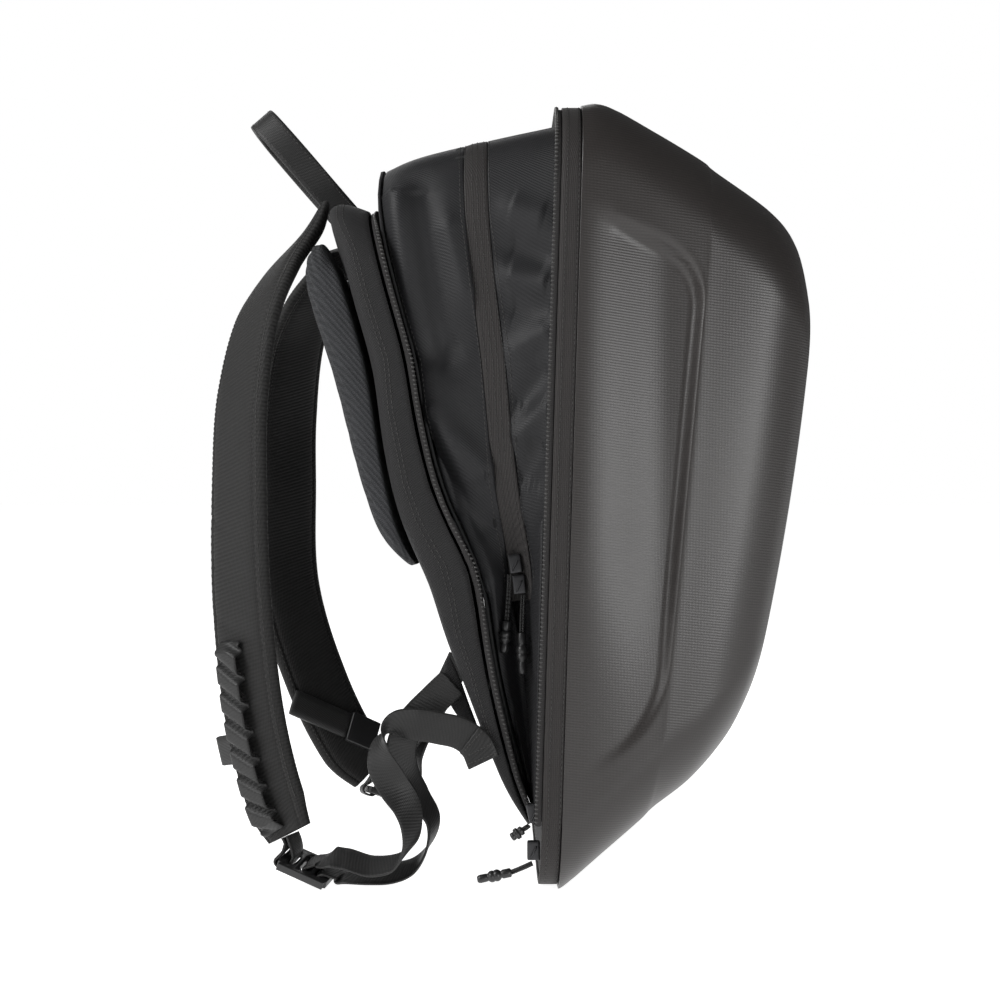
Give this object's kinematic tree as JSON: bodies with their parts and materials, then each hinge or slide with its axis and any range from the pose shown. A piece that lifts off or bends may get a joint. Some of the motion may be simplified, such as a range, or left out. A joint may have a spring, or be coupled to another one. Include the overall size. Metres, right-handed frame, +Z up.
{
  "type": "hard shell backpack",
  "caption": "Standing backpack with a stiff moulded front shell, a soft zipped bag, a padded back, curved shoulder straps and a webbing carry handle.",
  "frame": {"origin": "middle of the footprint, on the floor the pack stands on", "axes": "+Z up, +X from the wearer's back towards the hard shell, -Y to the wearer's left"},
  "size_m": [0.3906, 0.33, 0.524],
  "materials": {
    "shell": "satin warm dark grey with a fine cross weave",
    "cloth": "dark grey twill",
    "binding": "ribbed binding tape",
    "zip": "woven zip tape with moulded teeth",
    "mesh": "ribbed air mesh",
    "webbing": "flat woven webbing and cord",
    "plastic": "moulded, slightly glossy",
    "slider": "black lacquered"
  },
  "bodies": {
    "root": {"hard_shell": "shell", "hinge_panel": "cloth", "gusset_rear": "cloth", "gusset_front": "cloth", "bag_back_wall": "cloth", "back_tray": "cloth", "wing_left": "cloth", "wing_right": "cloth", "strap_left": "cloth", "strap_right": "cloth", "rim_band": "binding", "rim_zip": "zip", "back_zip": "zip", "main_zip": "zip", "back_pad_left": "mesh", "back_pad_right": "mesh", "grab_handle": "webbing", "daisy_left": "webbing", "daisy_right": "webbing", "sternum_left": "webbing", "sternum_right": "webbing", "buckle_loop_left": "webbing", "buckle_loop_right": "webbing", "tail_web_left": "webbing", "load_web_left": "webbing", "tail_web_right": "webbing", "load_web_right": "webbing", "pull_cord_rear": "webbing", "pull_cord_front": "webbing", "pull_cord_hinge": "webbing", "pull_cord_foot": "webbing", "buckle_left": "plastic", "buckle_right": "plastic", "sternum_slide": "plastic", "pull_end_rear": "plastic", "pull_end_front": "plastic", "pull_end_hinge": "plastic", "pull_end_foot": "plastic", "slider_rear": "slider", "slider_front": "slider", "slider_hinge": "slider", "slider_foot": "slider"}
  },
  "joints": []
}
